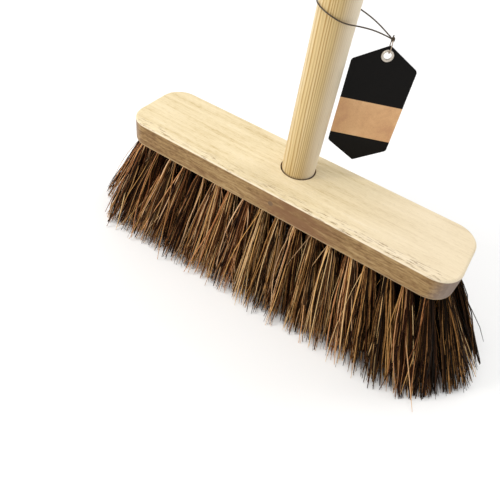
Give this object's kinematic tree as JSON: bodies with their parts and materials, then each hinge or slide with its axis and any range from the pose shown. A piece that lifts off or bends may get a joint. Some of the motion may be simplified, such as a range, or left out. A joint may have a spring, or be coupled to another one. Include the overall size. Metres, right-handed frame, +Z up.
{
  "type": "push broom",
  "caption": "Push broom: rounded wooden stock with rows of stiff fibre tufts, and a long round handle set upright in it, with a blank card swing tag on a cord.",
  "frame": {"origin": "on the floor under the middle of the bristle tips, which is the centre of the bottom of the bounding box without the swing tag and its cord", "axes": "+X along the stock to its right end seen from the front, +Y to the back (the handle's socket is set 6 mm back, the nail is in the front edge), +Z up the handle"},
  "size_m": [0.3984, 0.122, 1.463],
  "materials": {
    "stock_wood": "planed and sanded, unvarnished pale hardwood",
    "handle_wood": "sanded, unvarnished striped softwood",
    "fibre": "dry stiff palm fibre, reddish brown to straw",
    "nail_steel": "dull bright-drawn wire",
    "anchor_steel": "drawn wire",
    "card_black": "matt printed card with a plain kraft-coloured band",
    "eyelet_metal": "satin nickel",
    "ring_metal": "satin wire",
    "cord_fibre": "dark waxed cord"
  },
  "bodies": {
    "broom": {"broom_stock": "stock_wood", "handle": "handle_wood", "handle_nail": "nail_steel", "bristle_row_1": "fibre", "bristle_row_2": "fibre", "bristle_row_3": "fibre", "bristle_row_4": "fibre", "bristle_row_5": "fibre", "tuft_anchor_row_1": "anchor_steel", "tuft_anchor_row_2": "anchor_steel", "tuft_anchor_row_3": "anchor_steel", "tuft_anchor_row_4": "anchor_steel", "tuft_anchor_row_5": "anchor_steel"},
    "loop": {"tag_cord": "cord_fibre", "tag_knot": "cord_fibre"},
    "ring": {"tag_ring": "ring_metal"},
    "tag": {"tag_card": "card_black", "tag_eyelet": "eyelet_metal"}
  },
  "joints": [
    {"name": "loop_turn", "type": "hinge", "parent": "broom", "child": "loop", "pos_m": [0, 0.006, 0.232], "axis": [0, 0, 1], "continuous": true},
    {"name": "ring_swing", "type": "hinge", "parent": "loop", "child": "ring", "pos_m": [0.03654, 0.02227, 0.232], "axis": [0.4067, -0.9135, 0], "range_deg": [0, 60]},
    {"name": "tag_swing", "type": "hinge", "parent": "ring", "child": "tag", "pos_m": [0.03654, 0.02227, 0.223], "axis": [0.4067, -0.9135, 0], "range_deg": [0, 75]}
  ]
}
